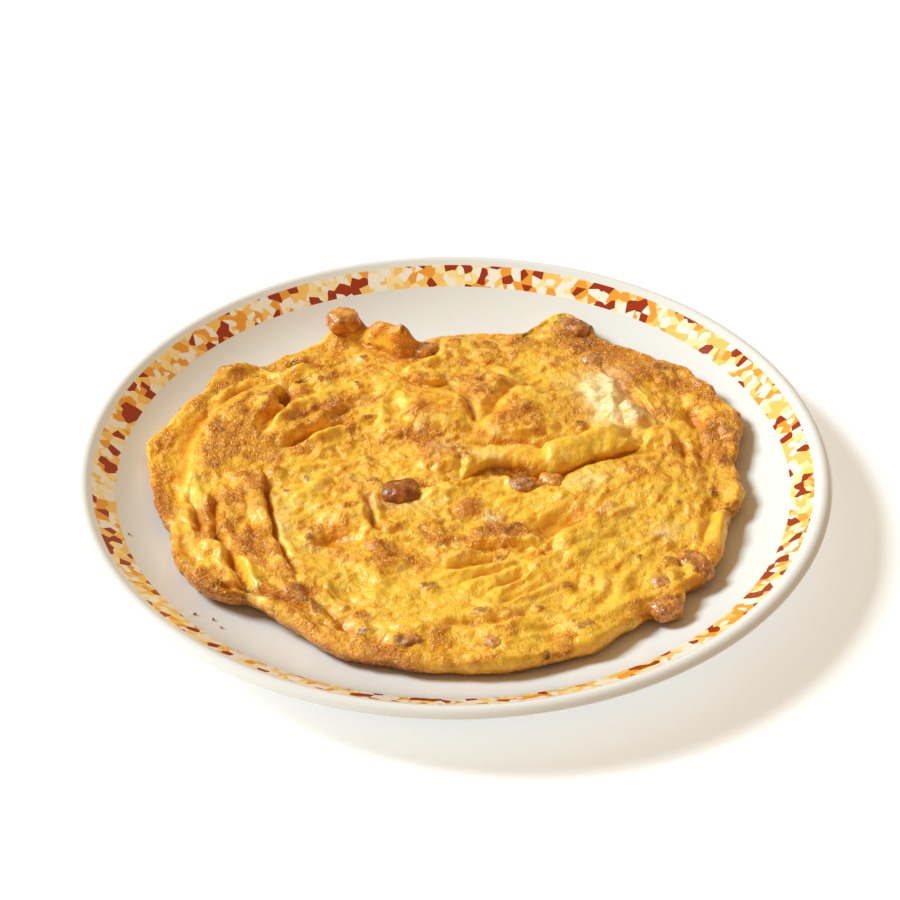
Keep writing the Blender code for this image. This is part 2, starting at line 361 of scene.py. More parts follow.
def paint_along(field, pixels, half_width, amount, ends=0.15, sight=FOLD_SIGHT):
    window, signed, strength, _ = follow(pixels, sight, 3.5 * half_width, ends)
    field[window] += amount * strength * bell(signed, half_width)


CREASE_SOFTNESS = 0.02
BILLOW_MEAN = 0.36


def billow(points, seed):
    """Puffy lumps with sharp creases between them, about 0 on the whole."""
    lump = noise(points, 1.0, seed)
    return np.sqrt(lump * lump + CREASE_SOFTNESS) - BILLOW_MEAN


SWELL_SIZE = 24.0
FLOW_TURN = 33.0  # which way the middle's puffs run, in degrees
FLOW_WARP = 1.5
FLOW_RADIUS = 80.0
FLOW_CHANGE = (44.0, 18.0)  # distances from the rim between which they turn to run round it
FLOW_OCTAVES = ((2.1, 18.0, 9.0), (1.2, 9.0, 5.4), (0.6, 4.6, 3.2))  # height, length and width in mm
STRAND_HEIGHT = 0.7
STRAND_WIDTH = 4.2
STRAND_TURNS = 3.0


def flow_ring(turns, across):
    """Noise places that run round the rim; across counts the lumps from the centre out."""
    return np.stack([np.cos(BEARING) * turns, np.sin(BEARING) * turns, across], -1)


def shape_body():
    """Swells of the whole sheet and the puffs and creases that run round the rim and across the middle."""
    RELIEF[...] += noise(FLAT, SWELL_SIZE, 21)
    along, across = along_and_across(X + FLOW_WARP * WARP_X, Y + FLOW_WARP * WARP_Y, FLOW_TURN)
    outer = smooth(*FLOW_CHANGE, INSIDE)
    calm = 1.0 - 0.75 * np.clip(SMOOTH, 0.0, 1.0)
    strands = flow_ring(STRAND_TURNS, (RADIUS + WARP_X + WARP_Y) / STRAND_WIDTH)
    RELIEF[...] += STRAND_HEIGHT * outer * calm * billow(strands, 24)
    for seed, (height, length, width) in enumerate(FLOW_OCTAVES):
        ring = flow_ring(FLOW_RADIUS / length, (RADIUS + WARP_X) / width)
        straight = np.stack([along / length, across / width], -1)
        puffs = outer * billow(ring, 25 + seed) + (1.0 - outer) * billow(straight, 35 + seed)
        RELIEF[...] += height * calm * puffs


def shape_folds():
    """The sheets that end in a rounded edge, and the ridges and creases that go with them."""
    # The long rolled flap and its hem, the folds on both sides of it and the gathered skin in front.
    fold_edge([463, 476, 472, 470, 500, 461, 536, 468, 552, 469, 568, 466], 2.3, 4.2, 3.4,
              ends=0.16, soft=1)
    fold_edge([540, 470, 556, 469, 588, 459, 626, 449, 644, 442], 5.2, 9, 3.4, ends=0.28, soft=1)
    fold_edge([458, 480, 472, 470, 500, 461, 552, 469, 588, 459, 626, 449, 646, 441],
              1.5, 0.9, 7, lean=1.3, under=1.8, ends=0.12)
    fold_edge([526, 381, 491, 417, 474, 433], 3, 5, 9, lean=0.4, soft=0.5)
    fold_edge([401, 373, 417, 380, 432, 382, 450, 378], 2.6, 1.4, 5.5, lean=1, under=0.6)
    fold_edge([464, 543, 505, 543, 544, 547], 2.6, 2.4, 5, lean=0.5, under=0.6)
    for gather in ((436, 562, 463, 551, 502, 549), (436, 575, 472, 566, 522, 560),
                   (459, 593, 486, 576, 532, 562), (482, 593, 517, 580, 549, 556),
                   (505, 604, 542, 588, 574, 578)):
        ridge(gather, 1.1, 1.2, ends=0.25)
    for hollow in ((436, 569, 470, 559, 510, 555), (446, 586, 482, 571, 526, 561),
                   (474, 595, 505, 579, 546, 562), (492, 604, 530, 588, 560, 572)):
        crease(hollow, 1.5, 0.8, shoulder=0.2, ends=0.25)
    # The membrane's edges at the egg white, and the pocket in front of the flap.
    ridge([604, 374, 610, 388, 611, 404, 606, 424], 2.6, 1.5, ends=0.3)
    ridge([612, 382, 618, 396, 618, 408], 1.6, 1.2, ends=0.3)
    fold_edge([604, 367, 622, 380, 668, 422], 1.6, 1.2, 6, lean=0.9, under=0.9)
    fold_edge([606, 497, 600, 506, 577, 527, 544, 538], 3, 2.6, 9, lean=0.9, under=1.2, ends=0.18)
    # The big browned lobe, the strip beside it, the long slanting fold and small folds near them.
    fold_edge([262, 377, 222, 408, 194, 447, 183, 494], 2.1, 2.2, 10, lean=0.8, under=0.5, ends=0.15)
    fold_edge([262, 452, 274, 446, 290, 441, 324, 421, 340, 408, 372, 390],
              1.9, 3.6, 4, lean=0.6, under=1, ends=0.32)
    fold_edge([303, 586, 277, 544, 266, 503, 262, 458], 2.8, 1.8, 9, lean=1, under=0.9, ends=0.2)
    crease([217, 490, 214, 510, 222, 545, 256, 597], 3.2, 1.2, shoulder=0.45, ends=0.12)
    crease([366, 489, 373, 519, 385, 530], 3.4, 0.9, shoulder=0.3)
    fold_edge([352, 604, 338, 600, 326, 588], 1.8, 1, 5, lean=0.5)
    # The curled flap that stands at the back left.
    fold_edge([347, 331, 366, 342, 392, 351, 408, 353, 434, 349],
              10.6, 5.6, 2.6, lean=0.8, under=0.8, ends=0.36, field=STANDING, soft=0.7)
    paint(STANDING, (357, 327), (2.4, 2), 4)
    paint(STANDING, (391, 332), (4, 2), 1.6)
    # The rolled front rim.
    fold_edge([210, 598, 232, 594, 252, 595, 292, 608, 314, 622],
              2.4, 1.6, 7, lean=0.8, under=0.8, sight=11)
    ridge([250, 612, 290, 624, 322, 640, 352, 653], 1.4, 3, sight=10)
    ridge([340, 644, 380, 655, 430, 662, 500, 664, 560, 650], 1.6, 3.2, sight=12)
    crease([304, 594, 330, 618, 364, 640, 420, 655], 1.8, 1.3, sight=12)
    ridge([330, 600, 372, 626, 430, 636, 500, 634, 560, 618], 1.3, 2.4, sight=13)
    crease([372, 612, 430, 622, 500, 620, 548, 606], 1.2, 1.3, sight=14)


# Swellings, and hollows below 0: photo pixel, half sizes and height in mm, turn and fullness if any.
DOMES = (
    # middle
    (515, 468, 5.5, 2.4, -2.2), (434, 411, 13.5, 12.5, 5, 0, 3.4), (490, 389, 9, 11, 4, -20, 3),
    (480, 382, 1.5, 1.3, -2), (401, 408, 3.6, 4.5, -1.8), (440, 455, 9.5, 6.5, 3, 20, 3),
    (542, 408, 16, 10, 2, 20, 3), (472, 505, 4.6, 3.6, 1.8, 0, 3), (501, 553, 3.4, 2.2, -2.2),
    # right
    (592, 386, 3.6, 4.4, 2.4, 0, 2.6), (600, 398, 3.4, 4.6, 2.2, 0, 2.6), (629, 412, 5.4, 4.6, 3.6, 0, 2.8),
    (639, 420, 3.2, 3.4, 2.4, 0, 2.6), (660, 434, 7.5, 5.5, 3.2, 0, 3.4), (692, 412, 6, 6, -2.6),
    (640, 480, 21, 15, 2.4, 0, 3.4), (561, 519, 10, 5.5, -4, 20, 3), (652, 372, 13, 8, 2),
    (714, 488, 2.6, 2.4, -1.6), (712, 532, 7, 11, 1.6, 0, 3), (704, 565, 7, 11, 1.6, 0, 3),
    # left
    (243, 424, 19, 13, 2.2, 50, 3.4), (324, 441, 13, 6, 1.4, 20), (201, 518, 3.2, 7, -2),
    (213, 556, 4.5, 7, 2, 0, 3), (300, 364, 9, 6, 1.8), (293, 362, 2.6, 1.8, -3), (301, 379, 2.6, 2, -2.6),
    (286, 394, 3, 3.8, -3.4), (272, 471, 4, 3.2, 2.2, 0, 3), (347, 509, 10.5, 7.5, 2.6, 0, 3.6),
    (338, 534, 7.6, 4, -3, 0, 3),
    # back
    (455, 345, 10, 7, 2.2), (508, 345, 10, 7, 1.6), (560, 325, 6, 5, 2.4),
)
# Rounded ridges, and grooves below 0: height and half width in mm, then the path.
RIDGES = (
    (1.8, 1.8, 386, 394, 383, 410, 384, 428), (2.2, 2.2, 374, 535, 386, 555, 411, 563),
    (1.6, 2, 426, 514, 436, 528, 450, 540), (1.4, 3, 466, 536, 486, 529, 512, 525, 541, 536),
    (2.2, 3.4, 690, 388, 712, 408, 728, 432), (1.8, 3.4, 737, 474, 738, 500, 724, 530),
    (1.6, 5, 690, 560, 674, 590, 654, 612), (1.2, 2.2, 560, 600, 600, 590, 640, 566),
    (1.3, 2.2, 580, 618, 620, 606, 652, 586), (1.6, 3, 258, 366, 228, 374, 200, 396, 156, 452),
    (-1.5, 2, 274, 376, 240, 388, 218, 403, 202, 422, 190, 444, 182, 468, 178, 494),
    (-1.6, 1.6, 228, 556, 238, 572, 250, 590), (1.5, 2.6, 190, 500, 194, 530, 204, 562),
    (1.3, 2, 330, 545, 360, 560, 392, 585),
)
# Long creases: depth and half width, then the path.
LONG_CREASES = (
    (2.2, 1.6, 466, 440, 488, 443, 512, 440, 536, 444, 558, 441, 584, 432, 622, 428),
    (1.8, 1.6, 516, 386, 499, 403, 478, 424), (3, 1.3, 448, 384, 456, 388, 469, 403, 475, 424),
    (1.6, 1.2, 456, 448, 459, 462, 460, 478), (2, 1, 622, 398, 621, 412, 627, 428),
    (1.8, 0.9, 640, 443, 650, 429, 668, 424), (2.2, 1.2, 674, 430, 683, 444, 688, 462),
    (1.8, 1.6, 690, 400, 700, 430, 704, 462), (1.8, 1.3, 720, 496, 710, 520, 700, 545),
    (3.2, 1.5, 284, 378, 288, 394, 284, 408, 258, 436),
    (2.2, 1.2, 277, 444, 296, 438, 314, 434, 338, 422, 352, 412), (1.1, 1.3, 238, 478, 253, 540, 266, 572),
    (2, 1.4, 187, 490, 196, 508, 203, 530), (2, 1.4, 430, 356, 438, 345, 440, 332),
)
# Browned places, and clear ones below 0, two broad ones of them painted light: photo pixel, half sizes in
# mm, amount, turn in degrees.
TOAST_AND_LIGHT_SPOTS = (
    (247, 421, 19, 12, 0.45, 52), (345, 503, 9, 5, 0.45, 10), (505, 531, 13, 4, 1), (300, 592, 8, 6, 0.45),
    (488, 395, 8, 10, 0.35), (430, 450, 8, 5, 0.25), (472, 504, 5, 4, 1), (650, 476, 17, 10, 0.4, 10),
    (655, 375, 15, 8, 0.45, -20), (720, 440, 9, 15, 0.35), (588, 340, 14, 9, 0.5, -25),
    (400, 435, 10, 5, 0.25, 20), (705, 560, 7, 12, 0.55), (392, 338, 12, 7, 0.25),
    (430, 527, 6, 5, 0.35, -45), (390, 552, 9, 4, 0.4, -35), (205, 585, 10, 6, 0.45),
    (160, 500, 5, 12, 0.4), (420, 350, 6, 5, 0.35), (310, 410, 8, 3, 0.35, 40), (330, 425, 9, 4, 0.35, 30),
    (270, 455, 5, 4, 0.3), (560, 520, 10, 5, -0.45, 18), (478, 572, 20, 9, -0.75, 15),
    (285, 530, 5, 16, -0.45, 10), (310, 500, 10, 9, -0.3), (300, 470, 12, 8, -0.2), (410, 590, 18, 8, -0.3),
    (188, 435, 3, 14, -0.3, -35), (580, 449, 18, 5, -0.3, 15), (640, 545, 15, 9, -0.2),
    (350, 575, 14, 8, -0.3, -20), (715, 535, 5, 8, -0.45), (440, 368, 9, 4, -0.35),
    # The broad clear places at (600, 500) and (530, 600) make the middle right and the front paler: clearer
    # egg, and painted light where the lamp from the left leaves them darker.
    (590, 470, 10, 5, -0.25, 30), (560, 490, 9, 4, -0.25, 20), (600, 500, 36, 34, -0.32),
    (530, 600, 44, 18, -0.28), (340, 500, 18, 26, -0.12), (560, 410, 16, 16, -0.15),
)
# Browned strips: half width, amount, then the path.
TOAST_STRIPS = (
    (5, 0.35, 232, 478, 240, 515, 254, 552, 278, 588), (2.6, 0.3, 258, 446, 290, 430, 350, 394),
    (4, 0.3, 255, 450, 254, 470, 256, 500), (2.6, 0.45, 150, 470, 156, 505, 166, 540, 176, 580, 203, 604),
    (3.2, 0.22, 262, 620, 320, 648, 380, 664, 450, 672, 530, 668, 600, 648),
    (2.6, 0.3, 283, 600, 320, 622, 365, 646, 420, 655), (3, 0.35, 215, 600, 250, 598, 285, 606),
    (4, 0.3, 560, 318, 650, 358, 700, 392, 738, 430),
)
# Egg white and stretched glossy skin: photo pixel, half sizes in mm, amount.
WHITE_SPOTS = (
    (600, 388, 7.5, 10.5, 1.7), (609, 408, 5, 9, 1.3), (630, 415, 6.4, 5.8, 1.7), (493, 514, 3, 3.4, 0.9),
    (663, 531, 4, 3, 0.7), (586, 480, 6, 5, 0.6), (358, 356, 2.6, 2.6, 0.7), (443, 446, 5, 4, 0.5),
    (603, 509, 5, 3, 0.4), (402, 502, 8, 3, 0.5), (283, 520, 3, 12, 0.4), (480, 455, 8, 3, 0.4),
    (372, 500, 3, 5, 0.4), (312, 545, 5, 2, 0.4),
)
SMOOTH_SPOTS = (
    (434, 410, 12, 10, 0.7), (560, 520, 10, 6, 1), (395, 338, 15, 8, 1), (505, 420, 7, 7, 0.6),
    (340, 535, 8, 5, 0.9), (600, 395, 8, 9, 0.6), (188, 435, 4, 16, 0.7), (715, 535, 6, 9, 0.7),
    (500, 485, 10, 4, 0.6), (284, 530, 4, 16, 0.5), (238, 580, 5, 5, 0.6), (472, 505, 5, 4, 0.8),
    (660, 434, 7, 5, 0.6), (478, 574, 22, 9, 0.6),
)
# Burnt spots, a few of them also painted shade in pits: photo pixel, radius in mm, amount.
CHAR_AND_SHADE_SPOTS = (
    (161, 525, 2.4, 1), (200, 602, 1.6, 1.1), (230, 602, 1, 1), (220, 583, 0.7, 1), (713, 488, 1.8, 0.8),
    (673, 369, 1.4, 0.8), (631, 518, 0.8, 0.9), (679, 501, 0.9, 0.9), (679, 482, 0.8, 0.7),
    # The spots at (286, 394), (293, 362) and (302, 379) lie in pits: dark brown crust there, and painted
    # shade of the pits.
    (640, 555, 0.9, 0.9), (481, 382, 1.2, 0.9), (286, 394, 2.6, 0.9), (293, 362, 2, 0.9),
    (302, 379, 2.2, 0.8), (471, 399, 1.2, 0.7), (441, 673, 3, 0.4), (266, 622, 2.4, 0.7),
    (330, 648, 3, 0.4), (288, 492, 1.2, 0.6), (503, 526, 1.1, 0.8), (512, 531, 0.9, 0.8),
    (540, 541, 1.2, 0.6), (699, 590, 1.6, 0.7), (731, 518, 1.2, 0.6),
)
# Paths under the flap's hem, where shadow is painted in as browner and burnt skin, and along its skin.
FLAP_SHADOW_PATH = (488, 466, 500, 467, 514, 470, 534, 470)
FLAP_SKIN = (480, 464, 510, 455, 540, 458, 570, 453, 635, 440)

# Radish dice, placed as in the CAD model: place in mm, half sizes, turn, height of the top, how much
# of it stands out of the egg, greyness, how far egg covers it, roughness.
SEAT_WIDTH = 2.6
RADISH = {
    "centre": ((-18, -11.5), (6.8, 5.4, 4.2), 8, 16.8, 4, 0, 0, 0.1),
    "under_fold_left": ((24, -7), (4.8, 3.6, 3.2), 20, 15, 2.6, 0.8, 0.3, 0.6),
    "under_fold_right": ((34, -3), (4.6, 3.4, 3), -25, 14.2, 2.2, 0.6, 0.9, 0.6),
    "back_left": ((-41, 86), (6.2, 4.8, 4.4), 15, 22.8, 6.4, 0.2, 0.7, 0.5),
    "back_fold_end": ((-10, 73), (4.4, 3.8, 3.2), 40, 16.6, 1.4, 0.2, 0.6, 0.4),
    "back_right": ((45, 88), (6.4, 4.2, 3.6), -30, 16.9, 1.8, 0.3, 0.5, 0.5),
    "back_right_inner": ((51, 69), (5.2, 3.8, 3.2), -35, 14.6, 0.7, 0.8, 0.6, 0.3),
    "right_rim": ((97, 21), (3.5, 4.8, 3.2), 10, 16.6, 1.6, 0.2, 0.9, 0.8),
    "right_front": ((80, -50), (4.5, 7.4, 3.4), 25, 15.4, 1.5, 0.1, 0.5, 1),
    "front_right_upper": ((69, -60), (4.6, 3.8, 3.2), 10, 15.2, 0.3, 1, 0.7, 0.6),
    "front_right_lower": ((69, -71), (5.2, 4.4, 3.6), 30, 15.6, 1.8, 0.2, 0.5, 1),
    "front_round": ((41, -82), (5.4, 3.9, 3), -10, 15.4, 0.4, 0.8, 0.6, 0.7),
    "front_middle": ((14, -90), (4.5, 3.6, 3), 0, 15.7, 0.4, 0.8, 0.6, 0.7),
    "front_left": ((-14, -88), (5.2, 3.8, 3), 12, 15.4, 0.7, 0.6, 0.4, 0.7),
}

# Width and height of the small bits, and the reach of their colour, as shares of their half size.
BIT_WIDTH = 0.72
BIT_HEIGHT = 0.4
BIT_REACH = 2.0
BIT_TURN = 73.0  # degrees for each pixel of a bit's place
# Small bits of radish in the skin: photo pixel, half size in mm, greyness.
BITS = (
    (219, 531, 2.6, 1), (309, 536, 3.2, 0.7), (307, 476, 2, 0.8), (288, 491, 2.2, 0.7),
    (368, 416, 2.4, 0.5), (358, 381, 2.4, 0.6), (369, 454, 2.4, 0.5), (372, 479, 3, 0.3),
    (502, 553, 2.8, 0), (429, 584, 3.4, 0.4), (361, 631, 4.4, 0.7), (442, 669, 3, 0.3), (480, 612, 3.6, 1),
    (540, 606, 2.6, 0.5), (545, 652, 2.8, 0.5), (568, 581, 3, 0.2), (640, 555, 1.7, 0.2),
    (668, 560, 3.2, 0.6), (697, 588, 2.8, 0), (730, 518, 2.2, 0.2), (713, 487, 2.6, 0.1),
    (723, 459, 3.2, 0.2), (660, 366, 3.2, 0.4), (581, 422, 3, 0.3), (576, 345, 2.8, 0.4),
    (404, 344, 3.4, 0.3), (297, 587, 4, 0.5), (305, 598, 3.6, 0.6), (315, 606, 4, 0.4),
    (363, 355, 2.4, 0.6), (397, 640, 2.8, 0.9), (518, 527, 2.4, 0.3), (680, 596, 2.8, 0.3),
    (506, 534, 2.6, 0.1), (587, 337, 3, 0.5), (300, 380, 2.6, 0.2), (322, 378, 2.8, 0.3),
    (705, 590, 2.4, 0.2),
)


def scatter_bits():
    """Raises and colours the small bits, each turned by its own place so that they lie every way."""
    for column, row, size, grey in BITS:
        turn = (column + row) * BIT_TURN % 180.0
        distance = spot_distance((column, row), (size, BIT_WIDTH * size), turn)
        near = distance < BIT_REACH
        FLESH[near] = np.maximum(FLESH[near], 1.0 - distance[near] / BIT_REACH)
        GREY[near] = grey
        RELIEF[near] += BIT_HEIGHT * size * np.exp(-distance[near] ** 4)


PLEAT_RISE = 1.2  # share of the heights in the table
# the clear skin along the pleats is also a painted highlight on their crests
PLEAT_SHEEN = 1.2  # width of the clear skin as a share of the pleat's
# Thin glossy pleats of the skin: height and half width in mm, then the path.
PLEATS = (
    (1.6, 1.5, 250, 386, 230, 398, 212, 416, 186, 462, 182, 478),
    (1, 1.1, 268, 374, 244, 380, 224, 392, 206, 412),
    (1.7, 1.2, 262, 367, 272, 370, 282, 374, 302, 370, 312, 372, 320, 377),
    (1.3, 1, 271, 380, 276, 388, 275, 397), (1.2, 1.2, 262, 401, 270, 408, 279, 406, 285, 400),
    (1.8, 1.8, 346, 378, 330, 390, 300, 405, 288, 412, 260, 438),
    (1.2, 1.4, 346, 424, 332, 431, 316, 436, 304, 442), (1.1, 1.5, 188, 462, 186, 480, 192, 500),
    (1, 1.4, 202, 480, 198, 496, 186, 510), (1.1, 1.3, 206, 556, 212, 548, 222, 552, 226, 566),
    (1.4, 1.4, 240, 556, 248, 570, 256, 590), (1.3, 1.7, 275, 500, 300, 493, 320, 482, 336, 469),
    (1.2, 1.4, 281, 524, 282, 538, 290, 551, 304, 557, 330, 560), (1.2, 0.9, 322, 574, 330, 590, 346, 602),
    (1.4, 1, 400, 373, 414, 364, 432, 359, 448, 358), (1.5, 1.3, 400, 386, 402, 398, 406, 410),
    (1.3, 1.6, 476, 427, 490, 417, 514, 394, 528, 385), (1.4, 0.9, 503, 468, 510, 478, 512, 490),
    (1.2, 1.2, 418, 493, 436, 493, 454, 489, 466, 494), (1.4, 1.1, 436, 478, 438, 468, 450, 465, 462, 470),
    (1, 1.2, 498, 501, 512, 495, 528, 493, 544, 496), (1.2, 1, 524, 548, 532, 541, 546, 546),
    (1.2, 1.6, 540, 320, 552, 315, 560, 318), (1.2, 1.3, 546, 432, 552, 424, 562, 420),
    (1.2, 1.5, 604, 562, 604, 578, 598, 594), (1.1, 1.5, 640, 560, 628, 576, 606, 612),
    (1.3, 1.8, 600, 632, 620, 624, 650, 616), (1.2, 1.6, 570, 650, 590, 640, 606, 632),
    (1.2, 1.5, 716, 500, 722, 516, 716, 534), (1.1, 1.3, 244, 602, 262, 600, 276, 606),
    (1.1, 1.4, 330, 652, 352, 659, 380, 664),
)
# Short creases: depth and half width, then the path.
CREASES = (
    (2.6, 1.2, 281, 378, 280, 404, 266, 422, 260, 433), (2.2, 1.1, 285, 441, 320, 428, 330, 427, 338, 419),
    (2.2, 1.1, 282, 368, 292, 363, 328, 361), (2.2, 1.1, 266, 476, 267, 500, 278, 546, 298, 575),
    (2.4, 0.8, 213, 520, 215, 531, 220, 543), (1.8, 0.9, 418, 480, 428, 483, 442, 486),
    (1.5, 1, 404, 538, 412, 537, 420, 534), (1.6, 1.4, 326, 402, 312, 410, 300, 418),
    (1.3, 1, 486, 367, 500, 375, 512, 382), (1.3, 1.3, 494, 336, 502, 348, 512, 356),
    (1.6, 0.7, 530, 542, 540, 546, 548, 551), (1.6, 0.9, 600, 356, 604, 364, 616, 374, 628, 380),
    (1.6, 0.9, 692, 444, 702, 450, 716, 454), (1.6, 0.9, 636, 436, 646, 428, 656, 422),
    (1.8, 1.2, 300, 600, 310, 612, 330, 622), (1.6, 1, 700, 552, 700, 566, 702, 580),
    (1.6, 1.2, 676, 552, 682, 570, 684, 584),
)


def shape_small_folds():
    """The pleats, smoother and clearer than the skin beside them, their clearer crests also a painted
    highlight, then the creases, ridges and swellings.
    """
    for height, half_width, *pixels in PLEATS:
        ridge(pixels, PLEAT_RISE * height, half_width, ends=0.3)
        paint_along(SMOOTH, pixels, PLEAT_SHEEN * half_width, 0.6)
        # painted highlight: the pleats' crests are made clearer, paler yellow, as well as smoother
        paint_along(TOAST_AND_PAINTED_LIGHT, pixels, PLEAT_SHEEN * half_width, -0.45)
    for depth, half_width, *pixels in CREASES:
        crease(pixels, depth, half_width, ends=0.3)
    for depth, half_width, *pixels in LONG_CREASES:
        crease(pixels, depth, half_width)
    for height, half_width, *pixels in RIDGES:
        ridge(pixels, height, half_width)
    for column, row, length, width, *rest in DOMES:
        dome((column, row), (length, width), *rest)


def paint_browning_and_light():
    """Where the egg is browned, where it stays clear yellow, and where it is burnt, with painted light
    among them: shadow under the flap's hem and in pits, and broad paler places at the middle right and
    front.
    """
    for half_width, amount, *pixels in TOAST_STRIPS:
        paint_along(TOAST_AND_PAINTED_LIGHT, pixels, half_width, amount)
    for field, spots in ((TOAST_AND_PAINTED_LIGHT, TOAST_AND_LIGHT_SPOTS), (WHITE, WHITE_SPOTS), (SMOOTH, SMOOTH_SPOTS)):
        for column, row, length, width, *rest in spots:
            paint(field, (column, row), (length, width), *rest)
    for column, row, radius, amount in CHAR_AND_SHADE_SPOTS:
        paint(CHAR_AND_PAINTED_SHADE, (column, row), (radius, radius), amount)
    paint_along(SMOOTH, FLAP_SKIN, 4.0, 0.8)
    # painted shadow under the flap's hem, laid in as browning and burn
    paint_along(TOAST_AND_PAINTED_LIGHT, FLAP_SHADOW_PATH, 1.8, 1.2)
    paint_along(CHAR_AND_PAINTED_SHADE, FLAP_SHADOW_PATH, 1.4, 0.5)


def surface_height():
    paint_browning_and_light()
    shape_small_folds()
    shape_body()
    shape_folds()
    scatter_bits()
    thickness = RIM_THICKNESS + (BODY_THICKNESS - RIM_THICKNESS) * smooth(0.0, RIM_TAPER, INSIDE)
    rise = smooth(*RIM_RISE, INSIDE)
    relief = RELIEF * (RIM_RELIEF + (1.0 - RIM_RELIEF) * rise) + STANDING
    height = underside_height(X, Y) + np.maximum(thickness + relief, LEAST_THICKNESS)
    for (x, y), half_sizes, turn, top, proud, *_ in RADISH.values():
        seat_die(height, (x, y), half_sizes, turn, top - proud)
    return blur(height, SKIN_BLUR)


def seat_die(height, centre, half_sizes, turn, level):
    """Brings the egg around a die to the level in mm to which the die is sunk in it."""
    sizes = [half_size + SEAT_WIDTH for half_size in half_sizes]
    share = np.exp(-ellipse_distance(X - centre[0], Y - centre[1], sizes, turn) ** 3)
    height += share * (level - float(sample(height, *centre)))


HEIGHT = surface_height()
CREST_BLURS = (0.5, 4.0)
CREST_HEIGHT = 1.2
# How far a place stands above the skin around it, and below 0 how far it lies in a hollow.
CREST = (blur(HEIGHT, CREST_BLURS[0]) - blur(HEIGHT, CREST_BLURS[1])) / CREST_HEIGHT


# ---- meshes

def new_object(name, data):
    thing = bpy.data.objects.new(name, data)
    bpy.context.scene.collection.objects.link(thing)
    return thing


def new_piece(name, mesh, material):
    piece = new_object(name, mesh)
    mesh.materials.append(material)
    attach(piece, "root")
    return piece


def read(mesh, name):
    """The places ("co") or the normals ("normal") of the mesh's corners."""
    flat = np.zeros(len(mesh.vertices) * 3)
    mesh.vertices.foreach_get(name, flat)
    return flat.reshape(-1, 3)


def store(mesh, **fields):
    """Keeps a value for each corner and field, for the material to read."""
    for name, values in fields.items():
        attribute = mesh.attributes.new(name, "FLOAT", "POINT")
        attribute.data.foreach_set("value", np.asarray(values, np.float32))


@functools.cache
def unit_ball(subdivisions, cuts=0):
    """Corners and faces of a unit ball: an icosahedron, divided; cuts divide its edges once more."""
    shape = bmesh.new()
    bmesh.ops.create_icosphere(shape, subdivisions=subdivisions, radius=1.0)
    if cuts:
        bmesh.ops.subdivide_edges(shape, edges=shape.edges[:], cuts=cuts, use_grid_fill=True)
    shape.verts.index_update()
    points = np.array([v.co for v in shape.verts])
    faces = [[v.index for v in f.verts] for f in shape.faces]
    shape.free()
    return points / np.linalg.norm(points, axis=1)[:, None], faces


def new_mesh(name, points, faces):
    mesh = bpy.data.meshes.new(name)
    mesh.from_pydata((points * MM).tolist(), [], faces)
    mesh.shade_smooth()
    return mesh


TOP_SHARE = 0.94
BALL_CUTS = 97
RIM_ROUNDING = 2.8


def omelette_shape(ball):
    """Carries a unit ball onto the omelette, with an overhanging lean at the folds, in mm."""
    split = 1.0 - 2.0 * TOP_SHARE
    upper = ball[:, 2] >= split
    top_share = np.sqrt(np.clip((1.0 - ball[:, 2]) / (1.0 - split), 0.0, 1.0))
    bottom_share = np.sqrt(np.clip((1.0 + ball[:, 2]) / (1.0 + split), 0.0, 1.0))
    share = np.where(upper, top_share, bottom_share)
    bearing = np.arctan2(ball[:, 1], ball[:, 0])
    straight = rim_reach(bearing) - RIM_ROUNDING
    path = share * (straight + RIM_ROUNDING * math.pi / 2.0)
    turn = np.clip(path - straight, 0.0, None) / RIM_ROUNDING
    radius = np.minimum(path, straight) + RIM_ROUNDING * np.sin(turn)
    x, y = radius * np.cos(bearing), radius * np.sin(bearing)
    top = sample(HEIGHT, x, y)
    bottom = underside_height(x, y)
    drop = (top - bottom) / 2.0 * (1.0 - np.cos(turn))
    z = np.where(upper, top - drop, bottom + drop)
    hold = np.where(upper, np.cos(turn), 0.0)
    points = np.stack([x + hold * sample(LEAN_X, x, y), y + hold * sample(LEAN_Y, x, y), z], -1)
    return points, x, y, upper, turn


BEND = 0.7
BEND_SIZE = 3.0
PUFF_HEIGHT = 0.52
PUFF_SIZE = 4.6
CRINKLE_HEIGHT = 0.28
CRINKLE_SIZE = 2.6
GRAIN_HEIGHT = 0.13
GRAIN_SIZE = 1.4


def fine_relief(points, silk, crust):
    """Small puffs, crinkles and sandy crust, in mm along the surface's normal."""
    bent = points + BEND * np.stack([noise(points, BEND_SIZE, seed) for seed in (41, 42, 43)], -1)
    puffs = PUFF_HEIGHT * billow(bent / PUFF_SIZE, 45)
    puffs += CRINKLE_HEIGHT * billow(bent / CRINKLE_SIZE, 46) * (0.6 + 0.7 * crust)
    grain = GRAIN_HEIGHT * noise(points, GRAIN_SIZE, 47)
    return puffs * (1.0 - 0.75 * silk) + grain * (0.1 + 1.2 * crust) * (1.0 - 0.85 * silk)


PATCHES = ((0.32, 17.0, 51), (0.38, 8.0, 52), (0.26, 3.2, 53))
TOAST_LEVEL = 0.33  # of skin that no spot makes browner or clearer
UNDERSIDE_TOAST = 0.35
UNDERSIDE_RELIEF = 0.3


def browning(points, spots, crest):
    """How brown the skin is, with the middle tones drawn apart into clear and browned places; the spots
    also bring in painted shadow, highlights and light.
    """
    toast = TOAST_LEVEL + 0.70 * spots + 0.05 * crest + 0.75 * layered(points, PATCHES)
    return 0.25 * toast + 0.56 * smooth(0.05, 0.85, toast)


